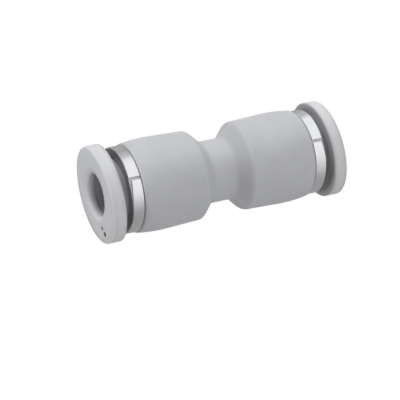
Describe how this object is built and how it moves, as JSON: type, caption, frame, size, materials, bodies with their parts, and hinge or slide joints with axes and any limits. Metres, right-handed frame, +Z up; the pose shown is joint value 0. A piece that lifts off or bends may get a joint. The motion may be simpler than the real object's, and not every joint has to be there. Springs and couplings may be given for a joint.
{
  "type": "push-in straight tube union",
  "caption": "Straight push-in union that joins two plastic tubes in line, with an oval release button and a metal ring at each end.",
  "frame": {"origin": "centre of the lower release button's flat face, on the tube axis", "axes": "+Z up along the tube axis, X along the release buttons' long axis, Y along their short axis"},
  "size_m": [0.0142, 0.0132, 0.0361],
  "materials": {
    "union_plastic": "moulded light grey PBT, satin",
    "button_plastic": "moulded light grey POM, satin",
    "collet_plastic": "moulded light grey POM, satin",
    "nickel_plate": "nickel-plated brass, polished",
    "spring_steel": "stainless spring steel",
    "spacer_plastic": "moulded natural plastic",
    "seal_rubber": "black nitrile rubber"
  },
  "bodies": {
    "union_body": {"body": "union_plastic", "bottom_guide_ring": "nickel_plate", "bottom_claw": "spring_steel", "bottom_spacer": "spacer_plastic", "bottom_seal": "seal_rubber", "top_guide_ring": "nickel_plate", "top_claw": "spring_steel", "top_spacer": "spacer_plastic", "top_seal": "seal_rubber"},
    "bottom_release": {"bottom_release_button": "button_plastic", "bottom_collet": "collet_plastic"},
    "top_release": {"top_release_button": "button_plastic", "top_collet": "collet_plastic"}
  },
  "joints": [
    {"name": "bottom_release_push", "type": "slide", "parent": "union_body", "child": "bottom_release", "axis": [0, 0, 1], "range_m": [0, 0.00106], "stiffness_N_per_m": 1500, "springref_m": -0.001, "deforming": ["bottom_claw"]},
    {"name": "top_release_push", "type": "slide", "parent": "union_body", "child": "top_release", "axis": [0, 0, -1], "range_m": [0, 0.00106], "stiffness_N_per_m": 1500, "springref_m": -0.001, "deforming": ["top_claw"]}
  ]
}
